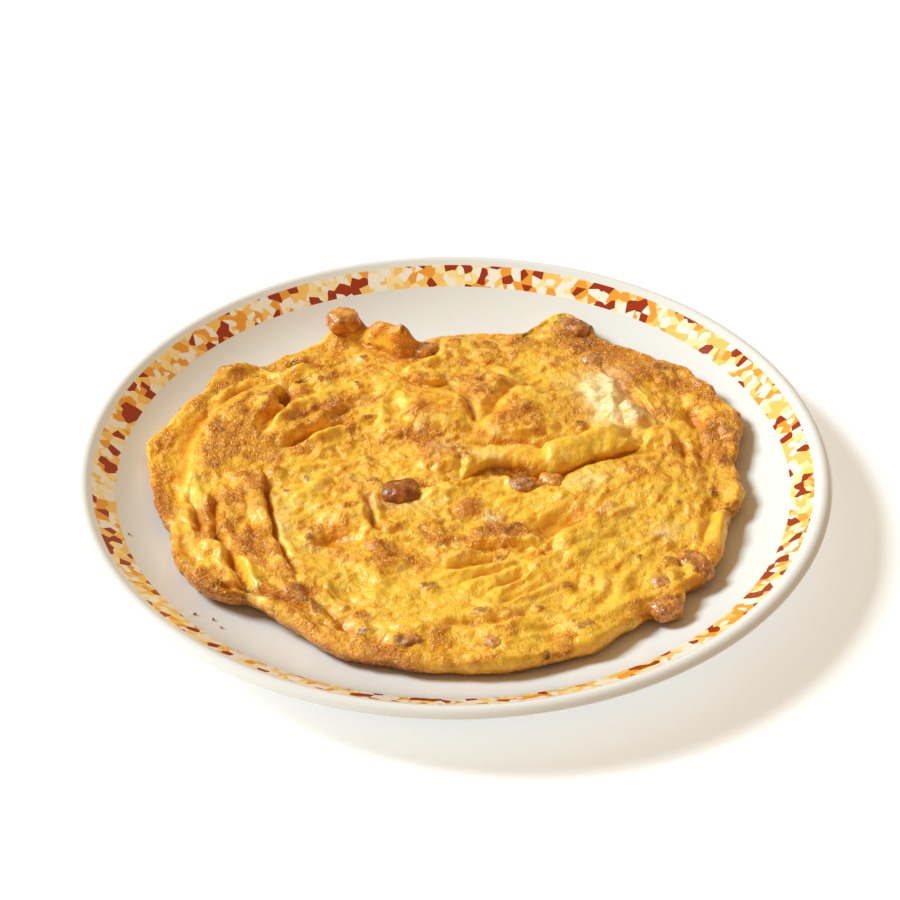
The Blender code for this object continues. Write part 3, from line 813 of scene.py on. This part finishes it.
def build_omelette(material):
    ball, faces = unit_ball(1, BALL_CUTS)
    points, x, y, upper, turn = omelette_shape(ball)
    mesh = new_mesh("omelette_skin", points, faces)
    silk = np.clip(sample(SMOOTH, x, y), 0.0, 1.0) * upper
    crest = np.where(upper, sample(CREST, x, y), 0.0)
    toast = browning(points, sample(TOAST_AND_PAINTED_LIGHT, x, y), crest)
    toast += np.where(upper, 0.04 * smooth(0.3, 1.3, turn), UNDERSIDE_TOAST)
    fine = fine_relief(points, silk, np.clip(toast, 0.0, 1.0))
    fine[~upper] *= UNDERSIDE_RELIEF
    moved = read(mesh, "co") + read(mesh, "normal") * (fine * MM)[:, None]
    mesh.vertices.foreach_set("co", moved.astype(np.float32).ravel())
    mesh.update()
    # toast: browning, with the painted shadow, highlights and light that its grid field holds
    store(mesh, toast=np.clip(toast + 0.25 * fine, 0.0, 1.2), silk=silk, grey=sample(GREY, x, y),
          # char: burnt spots, with the painted shade under the flap and in pits
          white=np.clip(sample(WHITE, x, y) * upper, 0.0, 1.2), char=np.clip(sample(CHAR_AND_PAINTED_SHADE, x, y), 0.0, 1.0),
          # hollow: how far a place lies in a hollow, which the material darkens as painted shade
          hollow=np.clip(-crest, -1.0, 1.5), flesh=sample(FLESH, x, y) * upper)
    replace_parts(new_piece("omelette_skin", mesh, material), "omelette")


# ---- node helpers

def srgb(colour):
    """Linear colour of 0 to 255 screen values."""
    shares = [value / 255.0 for value in colour]
    return [c / 12.92 if c <= 0.04045 else ((c + 0.055) / 1.055) ** 2.4 for c in shares]


class Nodes:
    """Adds and links the nodes of one material. A value is a constant or another node's output."""

    def __init__(self, name):
        self.material = bpy.data.materials.new(name)
        self.material.use_nodes = True
        self.tree = self.material.node_tree
        self.shader = self.tree.nodes["Principled BSDF"]
        self.place = self.add("TexCoord").outputs["Object"]

    def put(self, value, target):
        if isinstance(value, bpy.types.NodeSocket):
            self.tree.links.new(value, target)
        else:
            target.default_value = value

    def add(self, kind, inputs=None, **settings):
        node = self.tree.nodes.new("ShaderNode" + kind)
        for key, value in settings.items():
            setattr(node, key, value)
        for key, value in (inputs or {}).items():
            self.put(value, node.inputs[key])
        return node

    def math(self, operation, a, b=0.0, clamp=False):
        return self.add("Math", {0: a, 1: b}, operation=operation, use_clamp=clamp).outputs[0]

    def plus(self, a, b, clamp=False):
        return self.math("ADD", a, b, clamp)

    def times(self, a, b, clamp=False):
        return self.math("MULTIPLY", a, b, clamp)

    def attribute(self, name):
        return self.add("Attribute", attribute_name=name).outputs["Fac"]

    def noise(self, scale, detail=3.0, roughness=0.55):
        inputs = {"Vector": self.place, "Scale": scale, "Detail": detail, "Roughness": roughness}
        return self.add("TexNoise", inputs).outputs["Fac"]

    def voronoi(self, place, scale):
        return self.add("TexVoronoi", {"Vector": place, "Scale": scale}, voronoi_dimensions="2D").outputs

    def channels(self, colour):
        return self.add("SeparateColor", {0: colour}).outputs

    def ramp(self, factor, stops, interpolation="LINEAR"):
        node = self.add("ValToRGB", {"Fac": factor})
        node.color_ramp.interpolation = interpolation
        elements = node.color_ramp.elements
        while len(elements) < len(stops):
            elements.new(0.5)
        for element, (position, colour) in zip(elements, stops):
            element.position = position
            element.color = (*srgb(colour), 1.0)
        return node.outputs["Color"]

    def span(self, value, low, high, to_low=0.0, to_high=1.0):
        """The value carried smoothly from low and high to two other ends."""
        inputs = {"Value": value, "From Min": low, "From Max": high, "To Min": to_low, "To Max": to_high}
        return self.add("MapRange", inputs, interpolation_type="SMOOTHSTEP").outputs["Result"]

    def mix(self, factor, a, b):
        """Colour b over colour a; each is linked or given as screen values."""
        node = self.add("Mix", {0: factor}, data_type="RGBA")
        sockets = [socket for socket in node.inputs if socket.type == "RGBA"]
        for value, socket in zip((a, b), sockets):
            self.put(value if isinstance(value, bpy.types.NodeSocket) else (*srgb(value), 1.0), socket)
        return next(socket for socket in node.outputs if socket.type == "RGBA")

    def bump(self, height, distance, strength=1.0):
        inputs = {"Strength": strength, "Distance": distance, "Height": height}
        return self.add("Bump", inputs).outputs["Normal"]

    def set(self, **values):
        for key, value in values.items():
            self.put(value, self.shader.inputs[key.replace("_", " ")])
        return self.material


# ---- materials

EGG_STOPS = (
    (0.00, (250, 198, 64)), (0.18, (246, 182, 50)), (0.38, (238, 164, 40)), (0.60, (224, 140, 32)),
    (0.80, (204, 120, 28)), (1.00, (170, 90, 20)),
)
CURD_YELLOW = (252, 214, 126)
# painted shade: the deep orange that hollows and creases are mixed towards
HOLLOW_SHADE_ORANGE = (214, 124, 12)
EGG_WHITE = (255, 226, 172)
# painted glints: tiny cream specks on the crust, which also pass for flecks of egg white
GLINT_CREAM = (255, 230, 170)
BURNT = (70, 30, 12)
EGG_FILM = (238, 164, 66)
BROWN_FLESH = ((0.30, (92, 40, 10)), (0.46, (144, 74, 22)), (0.60, (180, 98, 36)), (0.76, (228, 160, 88)))
GREY_FLESH = ((0.30, (98, 54, 28)), (0.46, (158, 102, 64)), (0.60, (196, 144, 98)), (0.74, (246, 208, 152)))
# Noise patterns: scale, detail, roughness.
MOTTLE = (420.0, 5.0, 0.7)
SAND = (1000.0, 4.0, 0.75)
CURDS = (250.0, 4.0, 0.6)
GLINT_NOISE = (900.0, 3.0, 0.65)
RAGGED = (640.0, 4.0, 0.75)
COARSE = (520.0, 2.0, 0.6)
FINE = (1350.0, 2.0, 0.6)
FILM = (260.0, 4.0, 0.6)
FIBRE = (900.0, 4.0, 0.7)


def radish_colour(n):
    """Mottled brown flesh, greyer where the egg white lies over it."""
    level = n.noise(*MOTTLE)
    return n.mix(n.attribute("grey"), n.ramp(level, BROWN_FLESH), n.ramp(level, GREY_FLESH))


def egg_material():
    """Yellow to brown skin with sandy crust, curds, egg white, radish bits and burnt spots over it, painted
    shade in its hollows and painted glints on its crust.
    """
    n = Nodes("fried_egg_skin")
    toast = n.attribute("toast")
    calm = n.plus(1.0, n.times(n.attribute("silk"), -0.8))
    crust = n.span(toast, 0.10, 0.70, 0.38, 1.0)
    mottle = n.times(n.plus(n.noise(*MOTTLE), -0.5), n.plus(0.35, n.times(crust, 0.6)))
    sand = n.times(n.plus(n.noise(*SAND), -0.5), n.times(crust, 2.3))
    level = n.plus(toast, n.times(n.plus(mottle, sand), calm), clamp=True)
    colour = n.ramp(level, EGG_STOPS)
    curds = n.times(n.span(n.noise(*CURDS), 0.52, 0.72), n.span(toast, 0.2, 0.7, 0.7, 0.2))
    colour = n.mix(curds, colour, CURD_YELLOW)
    # painted shade: the deeper a place lies in a hollow, the more it turns deep orange
    hollow_shade = n.times(n.span(n.attribute("hollow"), 0.2, 1.4), 0.75)
    colour = n.mix(hollow_shade, colour, HOLLOW_SHADE_ORANGE)
    pale = n.times(n.attribute("white"), n.span(n.noise(420.0), 0.25, 0.6), clamp=True)
    colour = n.mix(pale, colour, EGG_WHITE)
    # painted glints: cream specks over the crust that stand in for highlights, and also read as egg-white
    # flecks
    painted_glints = n.times(n.span(n.noise(*GLINT_NOISE), 0.60, 0.70, 0.0, 1.1), crust)
    colour = n.mix(painted_glints, colour, GLINT_CREAM)
    ragged = n.times(n.plus(n.noise(*RAGGED), -0.5), 1.5)
    bits = n.times(n.span(n.plus(n.attribute("flesh"), ragged), 0.56, 0.74), 0.85)
    colour = n.mix(bits, colour, radish_colour(n))
    burnt = n.times(n.attribute("char"), n.span(n.noise(700.0), 0.3, 0.6), clamp=True)
    colour = n.mix(burnt, colour, BURNT)
    grains = n.plus(n.noise(*COARSE), n.times(n.noise(*FINE), 1.1))
    height = n.plus(n.times(grains, n.times(crust, calm)), n.times(n.noise(260.0, 1.0), 0.5))
    rough = n.plus(n.span(n.noise(700.0), 0.35, 0.7, 0.09, 0.24), n.times(crust, 0.10))
    return n.set(Base_Color=colour, Roughness=rough, Normal=n.bump(height, 0.0012), IOR=1.40,
                 Specular_IOR_Level=0.85, Specular_Tint=(1.0, 0.86, 0.6, 1.0), Coat_Weight=0.14,
                 Coat_Roughness=0.08, Subsurface_Weight=0.40, Subsurface_Scale=0.0028,
                 Subsurface_Radius=(1.0, 0.5, 0.2))


def radish_material():
    """Oiled flesh under patches of a thin egg film."""
    n = Nodes("preserved_radish_flesh")
    film = n.plus(n.noise(*FILM), n.times(n.attribute("film"), 0.34))
    colour = n.mix(n.span(film, 0.50, 0.95), radish_colour(n), EGG_FILM)
    fibre = n.noise(*FIBRE)
    return n.set(Base_Color=colour, Roughness=n.span(fibre, 0.3, 0.7, 0.22, 0.42), IOR=1.42,
                 Normal=n.bump(fibre, 0.0004, 0.6), Subsurface_Weight=0.3, Subsurface_Scale=0.003,
                 Coat_Weight=0.8, Coat_Roughness=0.08, Coat_Normal=n.bump(n.noise(500.0, 2.0), 0.0010))


BAND_STOPS = (
    (0.00, (238, 158, 52)), (0.26, (248, 198, 104)), (0.50, (251, 226, 164)), (0.78, (246, 238, 222)),
    (0.92, (252, 212, 104)),
)
PLATE_WHITE = (230, 229, 225)
SHARD_SCALE = 310.0
CREAM_SHARDS = (430.0, 0.2, (246, 238, 222))  # scale, share, colour
RED_SHARDS = (160.0, 0.24, (158, 44, 12))  # scale, size, colour
BAND_EDGE = 0.0001
BAND_HEIGHTS = (0.0125, 0.0135)  # the print begins between these heights in metres


def plate_material():
    """Glossy white with a printed band of angular shards; the band is found by its radius."""
    n = Nodes("plate_glaze_print")
    x, y, z = n.add("SeparateXYZ", {0: n.place}).outputs
    radius = n.math("SQRT", n.plus(n.math("POWER", x, 2.0), n.math("POWER", y, 2.0)))
    inner = n.span(radius, BAND_INNER_RADIUS * MM - BAND_EDGE, BAND_INNER_RADIUS * MM + BAND_EDGE)
    outer = n.span(radius, BAND_OUTER_RADIUS * MM - BAND_EDGE, BAND_OUTER_RADIUS * MM + BAND_EDGE, 1.0, 0.0)
    band = n.times(n.times(inner, outer), n.span(z, *BAND_HEIGHTS))
    shards = n.voronoi(n.place, SHARD_SCALE)
    colour = n.ramp(n.channels(shards["Color"])[0], BAND_STOPS, "CONSTANT")
    scale, share, cream = CREAM_SHARDS
    cells = n.channels(n.voronoi(n.place, scale)["Color"])[1]
    colour = n.mix(n.math("LESS_THAN", cells, share), colour, cream)
    scale, size, red = RED_SHARDS
    spaced = n.voronoi(shards["Position"], scale)["Distance"]
    colour = n.mix(n.math("LESS_THAN", spaced, size), colour, red)
    return n.set(Base_Color=n.mix(band, PLATE_WHITE, colour), IOR=1.5, Coat_Weight=0.3, Coat_Roughness=0.06,
                 Roughness=n.span(n.noise(300.0), 0.3, 0.7, 0.10, 0.17),
                 Normal=n.bump(n.noise(60.0, 2.0), 0.0004, 0.25))


FLOOR_WHITE = (252, 252, 252)
FLOOR_MOTTLE = 0.985  # tone of the floor's slightly darker places
FLOOR_GLOW = (0.82, 0.93, 1.0, 1.0)
FLOOR_SIZE = 6.0
FLOOR_DROP = 0.0002


def floor_material():
    """White that glows a little, so that the floor stays as clear as the photo's cut-out ground."""
    n = Nodes("floor_white")
    tone = n.mix(n.noise(8.0), FLOOR_WHITE, [value * FLOOR_MOTTLE for value in FLOOR_WHITE])
    return n.set(Base_Color=tone, Roughness=0.8, Emission_Color=FLOOR_GLOW, Emission_Strength=0.34)


# ---- plate

PLATE_STEPS = 288
MERGE_DISTANCE = 0.00005


def arc(centre_x, centre_z, radius, start, end, count):
    angles = np.radians(np.linspace(start, end, count))
    return list(zip(centre_x + radius * np.cos(angles), centre_z + radius * np.sin(angles)))


def plate_profile():
    """The half section, from the middle of the floor over the lip to the middle of the underside."""
    cove = PLATE_FLOOR_HEIGHT + PLATE_COVE_RADIUS
    underside = PLATE_FLOOR_HEIGHT - PLATE_WALL
    floor = [(radius, PLATE_FLOOR_HEIGHT) for radius in np.linspace(0.0, PLATE_FLOOR_RADIUS, 8)[:-1]]
    inner = arc(PLATE_FLOOR_RADIUS, cove, PLATE_COVE_RADIUS, -90, PLATE_BAND_SLOPE - 90, 14)
    crown = arc(PLATE_RADIUS - LIP_CROWN_RADIUS, LIP_CROWN_HEIGHT, LIP_CROWN_RADIUS,
                PLATE_BAND_SLOPE + 90, LIP_CROWN_END, 14)
    edge = arc(PLATE_RADIUS - LIP_EDGE_RADIUS, LIP_EDGE_HEIGHT, LIP_EDGE_RADIUS,
               LIP_CROWN_END, PLATE_BAND_SLOPE - 90, 8)
    outer = arc(PLATE_FLOOR_RADIUS, cove, PLATE_COVE_RADIUS + PLATE_WALL, PLATE_BAND_SLOPE - 90, -90, 12)
    foot = [(FOOT_OUTER_RADIUS + FOOT_FLARE, underside)]
    foot += arc(FOOT_OUTER_RADIUS - FOOT_ROUNDING, FOOT_ROUNDING, FOOT_ROUNDING, 0, -90, 4)
    foot += arc(FOOT_INNER_RADIUS + FOOT_ROUNDING, FOOT_ROUNDING, FOOT_ROUNDING, -90, -180, 4)
    foot += [(radius, underside) for radius in (FOOT_INNER_RADIUS - FOOT_FLARE, FOOT_INNER_RADIUS / 2, 0.0)]
    return floor + inner + crown + edge + outer + foot


def build_plate(material):
    profile = plate_profile()
    mesh = bpy.data.meshes.new("plate_glazed")
    mesh.from_pydata([(x * MM, 0.0, z * MM) for x, z in profile],
                     [(i, i + 1) for i in range(len(profile) - 1)], [])
    plate = new_piece("plate_glazed", mesh, material)
    turn = plate.modifiers.new("turn", "SCREW")
    turn.steps = turn.render_steps = PLATE_STEPS
    turn.use_merge_vertices = True
    turn.merge_threshold = MERGE_DISTANCE
    turn.use_smooth_shade = True
    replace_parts(plate, "plate")


# ---- radish

BOXINESS = 0.7  # 1 leaves a ball, and less comes nearer to a box
DIE_FINENESS = 5
CRUMB_FINENESS = 2
DIE_SEED = 60
CRUMB_SEED = 500


def lump(centre, half_sizes, turn, seed, subdivisions, rough):
    """Points of an uneven rounded die of radish flesh, in mm."""
    ball, faces = unit_ball(subdivisions)
    place = np.sign(ball) * np.abs(ball) ** BOXINESS * np.array(half_sizes)
    angle = math.radians(turn)
    cos, sin = math.cos(angle), math.sin(angle)
    place = place @ np.array([[cos, sin, 0.0], [-sin, cos, 0.0], [0.0, 0.0, 1.0]])
    size = min(half_sizes)
    way = place / np.linalg.norm(place, axis=1)[:, None]
    uneven = size * (0.20 * noise(place, size * 1.3, seed) + 0.10 * billow(place / (size * 0.7), seed + 1))
    uneven = uneven + rough * (0.5 * billow(place / 1.7, seed + 2) + 0.3 * noise(place, 0.9, seed + 3))
    return place + way * uneven[:, None] + np.array(centre), faces


CRUMBS = ((130, 541), (195, 618), (213, 619), (221, 628), (180, 409))
CRUMB_SIGHT = 10.0
CRUMB_SIZES = (0.6, 0.45, 0.3)
CRUMB_RISE = 0.25
CRUMB_TURN = 40.0


def build_radish(material):
    """The dice, and the dark crumbs that lie on the plate beside the egg."""
    for count, (label, (place, half_sizes, turn, top, _, grey, film, rough)) in enumerate(RADISH.items()):
        centre = (*place, top - half_sizes[2])
        points, faces = lump(centre, half_sizes, turn, DIE_SEED + 3 * count, DIE_FINENESS, rough)
        name = "radish_" + label
        mesh = new_mesh(name + "_flesh", points, faces)
        store(mesh, grey=[grey] * len(points), film=[film] * len(points))
        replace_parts(new_piece(name + "_flesh", mesh, material), name)
    corners, sides = [], []
    for count, pixel in enumerate(CRUMBS):
        x, y = on_plate(pixel, CRUMB_SIGHT)[0]
        centre = (x, y, float(plate_height(np.hypot(x, y))) + CRUMB_RISE)
        turn = CRUMB_TURN * count
        points, faces = lump(centre, CRUMB_SIZES, turn, CRUMB_SEED + count, CRUMB_FINENESS, 1.0)
        sides += [[index + len(points) * count for index in face] for face in faces]
        corners.append(points)
    mesh = new_mesh("crumbs", np.vstack(corners), sides)
    store(mesh, grey=[0.0] * len(mesh.vertices), film=[0.0] * len(mesh.vertices))
    new_piece("crumbs", mesh, material)


# ---- stage

KEY_BEARING = math.radians(163.0)  # from the left, a little behind the plate
KEY_ELEVATION = math.radians(39.0)
KEY_DISTANCE = 3.0
KEY_AIM = (0, 0, 0.01)
KEY_SIZE = 1.05
KEY_POWER = 128.5
KEY_COLOUR = (0.777, 0.919, 1.0)
WORLD_COLOUR = (1.0, 0.70, 0.38, 1.0)
WORLD_STRENGTH = 0.48


def aim(thing, place, way):
    thing.location = place
    thing.rotation_euler = Vector(way).to_track_quat("-Z", "Y").to_euler()


def build_light():
    data = bpy.data.lights.new("key", "AREA")
    data.size = KEY_SIZE
    data.energy = KEY_POWER
    data.color = KEY_COLOUR
    level = KEY_DISTANCE * math.cos(KEY_ELEVATION)
    place = Vector((level * math.cos(KEY_BEARING), level * math.sin(KEY_BEARING),
                    KEY_DISTANCE * math.sin(KEY_ELEVATION)))
    aim(new_object("key", data), place, Vector(KEY_AIM) - place)
    world = bpy.data.worlds.new("studio")
    bpy.context.scene.world = world
    world.use_nodes = True
    background = world.node_tree.nodes["Background"].inputs
    background["Color"].default_value = WORLD_COLOUR
    background["Strength"].default_value = WORLD_STRENGTH
    bpy.context.scene.view_settings.view_transform = "Standard"


def build_floor():
    bpy.ops.mesh.primitive_plane_add(size=FLOOR_SIZE, location=(0, 0, -FLOOR_DROP))
    floor = bpy.context.object
    floor.name = "floor"
    floor.data.materials.append(floor_material())


def build_camera():
    data = bpy.data.cameras.new("camera")
    data.lens = LENS
    data.sensor_width = SENSOR
    camera = new_object("camera", data)
    aim(camera, CAMERA * MM, AIM - CAMERA)
    bpy.context.scene.camera = camera


build_camera()
build_floor()
build_light()
build_plate(plate_material())
build_omelette(egg_material())
build_radish(radish_material())
